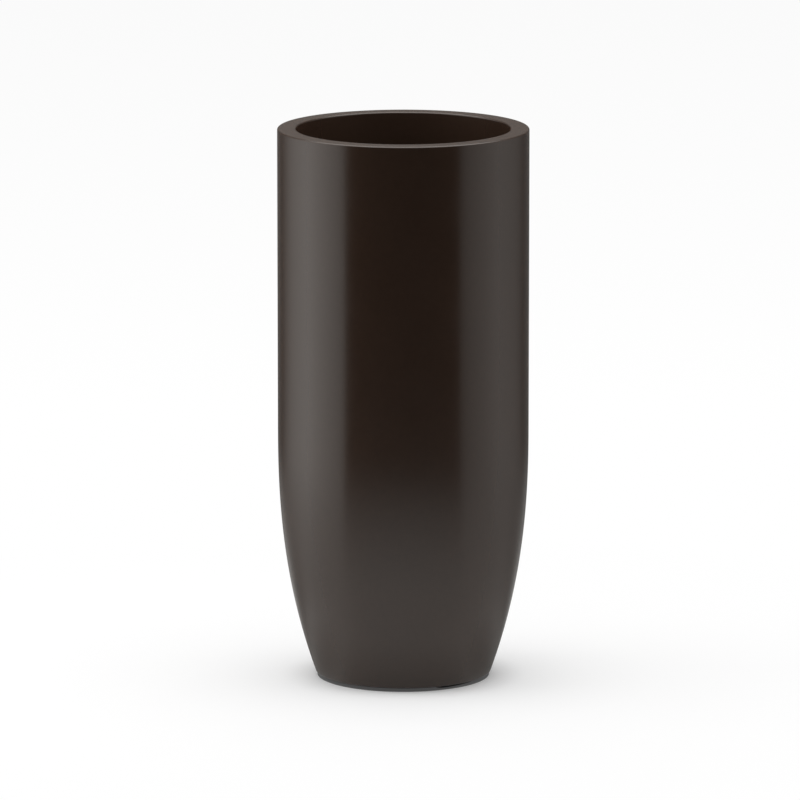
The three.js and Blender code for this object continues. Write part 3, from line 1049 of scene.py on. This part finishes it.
def make_pad(sizes, radius, spread):
    """A curved rubber pad, from its first screw on the +X axis round to its second one."""
    low, high = PAD_LOW.z, PAD_HIGH.z
    side, edge = sizes.pad_width / 2, sizes.pad_round
    top_edge = 0.0005
    half = [
        (0.0, low),
        (side - edge - HOLD, low),
        *rounded(side, low, edge, 270, 5),
        *rounded(side, high, top_edge, 0, 4),
        (side - 2 * top_edge, high),
        (0.0, high),
    ]
    outer = [(radius + away, height) for away, height in half]
    inner = [(radius - away, height) for away, height in reversed(half[1:-1])]
    bar = turn("bar", outer + inner, 24, angle=spread)
    near = turn("near end", outer, 24, closed=False, angle=-math.pi, centre=radius)
    far = turn("far end", outer, 24, closed=False, angle=math.pi, centre=radius)
    far_end = copy_turned(far, spread)
    bpy.data.objects.remove(far)
    pad = merge_all([bar, near, far_end], "pad")
    bpy.ops.object.mode_set(mode="EDIT")
    weld()

    over, ease = 0.0002, 0.0004
    bore = turn("bore", [
        (0.0, low - over),
        (sizes.head_bore + ease + over, low - over),
        (sizes.head_bore, low + ease),
        (sizes.head_bore, sizes.head_seat),
        (sizes.shank_bore, sizes.head_seat),
        (sizes.shank_bore, high + over),
        (0.0, high + over),
    ], 48, closed=False)
    first = copy_at(bore, (radius, 0, 0))
    second = copy_turned(first, spread)
    bpy.data.objects.remove(bore)
    combine(pad, merge_all([first, second], "bores"), "DIFFERENCE")
    return pad


class PLANTER_OT_feet(bpy.types.Operator):
    """Place the three curved rubber pads, each with two screws"""

    bl_idname = "planter.feet"
    bl_label = "Pads and Screws"

    def execute(self, context):
        sizes = context.scene.planter_feet
        places = [middle(node) for node in SCREW_NODES]
        azimuths = [math.atan2(at.y, at.x) for at in places]
        radius = math.hypot(places[0].x, places[0].y)
        spread = azimuths[1] - azimuths[0]

        pad = make_pad(sizes, radius, spread)
        for count, node in enumerate(PAD_NODES):
            made = copy_turned(pad, -azimuths[2 * count + 1])
            made.name = made.data.name = f"rubber_pad_{count + 1}"
            dress(made, "planter", "pad_rubber", [node], "rubber")
        bpy.data.objects.remove(pad)

        screw = make_screw(sizes)
        for count, (node, at) in enumerate(zip(SCREW_NODES, places), 1):
            made = copy_at(screw, (at.x, at.y, 0))
            made.name = made.data.name = f"pad_screw_{count}"
            dress(made, "planter", "screw_steel", [node], "zinc")
        bpy.data.objects.remove(screw)
        return {"FINISHED"}


# ---- Studio ----------------------------------------------------------------


class StudioSettings(bpy.types.PropertyGroup):
    lens: FloatProperty(name="Lens", description="Focal length in millimetres", default=344.56, min=1.0)
    tilt: FloatProperty(
        name="Tilt", description="How far the camera looks down", default=math.radians(10.636),
        subtype="ANGLE",
    )
    overhead: FloatProperty(name="Overhead", description="Power of the overhead light", default=75.0)
    left: FloatProperty(name="Left", description="Power of the left light", default=39.0)
    right: FloatProperty(name="Right", description="Power of the right light", default=18.0)
    mouth: FloatProperty(name="Mouth", description="Power of the light over the mouth", default=0.55)
    ambient: FloatProperty(name="Ambient", description="Strength of the even light", default=0.20)
    roof: FloatProperty(name="Roof", description="Brightness of the tent's roof", default=3.0)
    # The shade under the base is painted: the floor there glows an even dark grey for the shadow in the gap.
    shade_radius: length("Shade radius", "Radius of the even shade under the base", 0.1425)
    shade: FloatProperty(name="Shade", description="Brightness of the floor under the base", default=0.07)


# Brightness of the tent's wall by azimuth: 0 is the camera's side, positive is its right.
TENT_WALL = (
    (-180, 0.20), (-155, 0.14), (-142, 0.07), (-130, 0.35), (-112, 1.07), (-93, 1.86), (-75, 1.60),
    (-60, 1.22), (-54, 1.18), (-52, 0.0), (51, 0.0), (53, 0.50), (70, 0.70), (92, 0.85),
    (110, 0.55), (138, 0.09), (155, 0.13), (180, 0.18),
)
# The same for the floor near the planter; its dips towards the back are painted shade, for the planter's
# shadow on the floor behind it.
TENT_FLOOR = (
    (-180, 0.0), (-168, 0.0), (-158, 0.40), (-150, 0.60), (-137, 0.39), (-126, 0.27), (-116, 0.32),
    (-98, 0.75), (-80, 0.94), (-60, 1.02), (-40, 0.91), (0, 0.89), (45, 0.82), (60, 0.82),
    (75, 0.765), (98, 0.575), (116, 0.31), (126, 0.23), (137, 0.33), (150, 0.50), (158, 0.40),
    (168, 0.0), (180, 0.0),
)
# How much of the floor is plain emission: under the base, where it is a dark painted shade, and plain white
# by distance from the axis in metres.
SHADE_SHARE = 0.85
FLOOR_WHITE = ((0.1425, 0.0), (0.1426, 0.20), (0.20, 0.50), (0.30, 0.64), (0.42, 0.76), (1.15, 1.0))
TENT_RADIUS = 3.0
TENT_HEIGHT = 3.2
# Inner radius of the tent's floor, which stops at the foot: there is none under the base.
TENT_HOLE = 0.1445
# How far the tent's floor stands off the real one.
CLEARANCE = 0.0005
CAMERA_PLACE = (-0.0054, -12.42, 2.7936)
# Painted contact shadow on the tent's floor: the share of its light that is left near the planter, by
# distance in metres:
# from, to and the share at the start, in front and behind, and then at the sides.
CONTACT_FRONT = (0.14, 0.27, 0.60)
CONTACT_SIDE = (0.15, 0.36, 0.28)
# The sine of the azimuth from which a place counts as at the side.
SIDE_FROM = 0.8
# The distances between which the tent's floor takes on its wall's brightness.
FLOOR_TO_WALL = (0.5, 2.05)


def aim(lamp, target):
    """Turn a lamp to face a point."""
    lamp.rotation_euler = (Vector(target) - lamp.location).to_track_quat("-Z", "Y").to_euler()


def soft_lamp(name, place, target, width, height, power):
    """A large soft lamp that lights the colour and leaves gloss to the tent."""
    deselect()
    bpy.ops.object.light_add(type="AREA", location=place)
    lamp = bpy.context.object
    lamp.name = name
    lamp.data.shape = "RECTANGLE"
    lamp.data.size, lamp.data.size_y = width, height
    lamp.data.energy = power
    lamp.visible_glossy = False
    lamp.visible_camera = False
    aim(lamp, target)


def seen_plain(nodes):
    """1 for camera, glossy and transmission rays."""
    path = nodes.add("ShaderNodeLightPath").outputs
    seen = nodes.math("MAXIMUM", path["Is Camera Ray"], path["Is Glossy Ray"])
    return nodes.math("MAXIMUM", seen, path["Is Transmission Ray"])


def bare_material(name):
    """A material with an empty node tree, and the object coordinates in it."""
    material = bpy.data.materials.new(name)
    material.use_nodes = True
    material.node_tree.nodes.clear()
    nodes = Nodes(material.node_tree)
    return material, nodes, nodes.add("ShaderNodeTexCoord").outputs["Object"]


def floor_finish(settings):
    """White floor: lit by the lamps near the planter, plain white further off, and a dark painted shade
    under the base.
    """
    material, nodes, where = bare_material("studio floor")
    away = nodes.distance(where)
    tone = nodes.mix("RGBA", nodes.noise(where, 4.0, 2.0, 0.5), rgba((0.90,) * 3), rgba((0.92,) * 3))
    lit = nodes.add("ShaderNodeBsdfDiffuse", {"Color": tone}).outputs[0]
    share = 0.0
    for (near, low), (far, high) in zip(FLOOR_WHITE, FLOOR_WHITE[1:]):
        share = nodes.math("ADD", share, nodes.spread(away, near, far, 0.0, high - low))
    # Painted shade: inside the shade radius the floor is a dark even emission, standing in for the shadow
    # under the base.
    shaded = nodes.math("LESS_THAN", away, settings.shade_radius)
    share = nodes.math("MAXIMUM", share, nodes.math("MULTIPLY", shaded, SHADE_SHARE))
    level = nodes.math("MULTIPLY_ADD", shaded, settings.shade - 1.0, 1.0)
    white = nodes.add("ShaderNodeEmission", {"Color": rgba((1, 1, 1)), "Strength": level}).outputs[0]
    factor = nodes.math("MULTIPLY", seen_plain(nodes), share)
    top = nodes.add("ShaderNodeMixShader", {0: factor, 1: lit, 2: white}).outputs[0]
    clear = nodes.add("ShaderNodeBsdfTransparent").outputs[0]
    under = nodes.add("ShaderNodeNewGeometry").outputs["Backfacing"]
    surface = nodes.add("ShaderNodeMixShader", {0: under, 1: top, 2: clear}).outputs[0]
    nodes.add("ShaderNodeOutputMaterial", {"Surface": surface})
    return material


def brightness_ramp(nodes, share, stops):
    """Brightness by azimuth, from (azimuth in degrees, brightness) pairs."""
    ramp = nodes.add("ShaderNodeValToRGB", {0: share})
    brightest = max(value for _, value in stops)
    marks = ramp.color_ramp.elements
    for degrees, _ in stops[1:-1]:
        marks.new((degrees + 180) / 360)
    for mark, (_, value) in zip(marks, stops):
        mark.color = rgba((value / brightest,) * 3)
    return nodes.math("MULTIPLY", ramp.outputs["Color"], brightest)


def tent_finish(settings):
    """Brightness of the tent by azimuth on its wall and floor, with a painted contact shadow on its floor
    near the planter, and plain on its roof.
    """
    material, nodes, where = bare_material("light tent")
    parts = nodes.parts(where)
    azimuth = nodes.math("ARCTAN2", parts["X"], nodes.math("MULTIPLY", parts["Y"], -1.0))
    share = nodes.spread(azimuth, -math.pi, math.pi)
    wall = brightness_ramp(nodes, share, TENT_WALL)
    near = brightness_ramp(nodes, share, TENT_FLOOR)
    flat = nodes.add("ShaderNodeCombineXYZ", {"X": parts["X"], "Y": parts["Y"]}).outputs[0]
    away = nodes.distance(flat)
    # Painted contact shadow: the tent's floor dims towards the planter's foot, more steeply at the sides.
    front, side = (nodes.spread(away, *reach, 1.0) for reach in (CONTACT_FRONT, CONTACT_SIDE))
    sideways = nodes.math("DIVIDE", nodes.math("ABSOLUTE", parts["X"]), away)
    contact = nodes.mix("FLOAT", nodes.spread(sideways, SIDE_FROM, 1.0), front, side)
    shaded = nodes.math("MULTIPLY", near, contact)
    glow = nodes.mix("FLOAT", nodes.spread(away, *FLOOR_TO_WALL), shaded, wall)
    roof_glow = nodes.spread(away, TENT_RADIUS, 2.0, 0.3, settings.roof, "SMOOTHSTEP")
    is_roof = nodes.math("GREATER_THAN", parts["Z"], TENT_HEIGHT - 0.02)
    level = nodes.mix("FLOAT", is_roof, glow, roof_glow)
    light = nodes.add("ShaderNodeEmission", {"Color": rgba((1, 0.995, 0.97)), "Strength": level})
    nodes.add("ShaderNodeOutputMaterial", {"Surface": light.outputs[0]})
    material.cycles.emission_sampling = "NONE"
    return material


def studio_world(settings):
    """White to the camera and in gloss and glass, and an even low light for the rest."""
    world = bpy.data.worlds.new("studio")
    bpy.context.scene.world = world
    world.use_nodes = True
    world.node_tree.nodes.clear()
    nodes = Nodes(world.node_tree)
    height = nodes.parts(nodes.add("ShaderNodeTexCoord").outputs["Generated"])["Z"]
    white = nodes.spread(height, -0.185, -0.13, 1.0, 0.955)
    strength = nodes.mix("FLOAT", seen_plain(nodes), settings.ambient, white)
    sky = nodes.add("ShaderNodeBackground", {"Color": rgba((1, 1, 1)), "Strength": strength})
    nodes.add("ShaderNodeOutputWorld", {"Surface": sky.outputs[0]})


class PLANTER_OT_studio(bpy.types.Operator):
    """Set up the floor, the light tent, the lamps and the camera"""

    bl_idname = "planter.studio"
    bl_label = "Studio"

    def execute(self, context):
        scene = context.scene
        settings = scene.planter_studio
        studio_world(settings)

        deselect()
        bpy.ops.mesh.primitive_circle_add(
            vertices=96, radius=1.6, fill_type="NGON", location=(0, 0, -0.0002)
        )
        floor = bpy.context.object
        floor.name = "studio_floor"
        floor.data.materials.append(floor_finish(settings))

        tent = draw("light_tent", [
            (TENT_HOLE, CLEARANCE), (TENT_RADIUS, CLEARANCE), (TENT_RADIUS, TENT_HEIGHT),
            (0.0, TENT_HEIGHT),
        ], closed=False)
        bpy.ops.mesh.spin(steps=96, angle=math.tau, center=(0, 0, 0), axis=(0, 0, 1))
        bpy.ops.object.mode_set(mode="OBJECT")
        settle(tent)
        tent.data.materials.append(tent_finish(settings))
        for kind in ("camera", "diffuse", "transmission", "volume_scatter", "shadow"):
            setattr(tent, f"visible_{kind}", False)

        soft_lamp("overhead_light", (0, 0.2, 3.0), (0, 0, 0.4), 2.6, 2.6, settings.overhead)
        soft_lamp("left_light", (-2.4, -0.1, 1.3), (0, 0, 0.5), 2.0, 2.2, settings.left)
        soft_lamp("right_light", (2.4, -0.1, 1.3), (0, 0, 0.5), 2.0, 2.2, settings.right)
        soft_lamp("mouth_light", (0.08, -0.06, 1.32), (0, 0, 0.8), 0.25, 0.25, settings.mouth)

        deselect()
        bpy.ops.object.camera_add(
            location=CAMERA_PLACE, rotation=(math.pi / 2 - settings.tilt, 0, 0)
        )
        camera = bpy.context.object
        camera.name = "camera"
        camera.data.sensor_width = 36.0
        camera.data.lens = settings.lens
        camera.data.clip_start, camera.data.clip_end = 0.1, 100.0
        scene.camera = camera
        scene.view_settings.view_transform = "Standard"
        return {"FINISHED"}


# ---- Panel and registration ------------------------------------------------

STEPS = (
    PLANTER_OT_skin,
    PLANTER_OT_base,
    PLANTER_OT_drain,
    PLANTER_OT_plate,
    PLANTER_OT_cleats,
    PLANTER_OT_feet,
    PLANTER_OT_studio,
)


class PLANTER_PT_panel(bpy.types.Panel):
    bl_idname = "PLANTER_PT_panel"
    bl_label = "Tall Fiberglass Planter"
    bl_space_type = "VIEW_3D"
    bl_region_type = "UI"
    bl_category = "Planter"

    def draw(self, context):
        for step in STEPS:
            self.layout.operator(step.bl_idname)
        scene = context.scene
        for group in (scene.planter_shell, scene.planter_base, scene.planter_plate, scene.planter_feet,
                      scene.planter_colours, scene.planter_studio):
            box = self.layout.box()
            for name in group.bl_rna.properties.keys():
                if name not in {"rna_type", "name"}:
                    box.prop(group, name)


GROUPS = {
    "planter_shell": ShellSizes,
    "planter_base": BaseSizes,
    "planter_plate": PlateSizes,
    "planter_feet": FootSizes,
    "planter_colours": PlanterColours,
    "planter_studio": StudioSettings,
}


def register():
    for group in GROUPS.values():
        bpy.utils.register_class(group)
    for name, group in GROUPS.items():
        setattr(bpy.types.Scene, name, PointerProperty(type=group))
    for step in (*STEPS, PLANTER_PT_panel):
        bpy.utils.register_class(step)


def unregister():
    for step in reversed((*STEPS, PLANTER_PT_panel)):
        bpy.utils.unregister_class(step)
    for name in GROUPS:
        delattr(bpy.types.Scene, name)
    for group in reversed(GROUPS.values()):
        bpy.utils.unregister_class(group)


def main():
    register()
    bpy.ops.planter.skin()
    bpy.ops.planter.base()
    bpy.ops.planter.drain()
    bpy.ops.planter.plate()
    bpy.ops.planter.cleats()
    bpy.ops.planter.feet()
    bpy.ops.planter.studio()


if __name__ == "__main__":
    main()
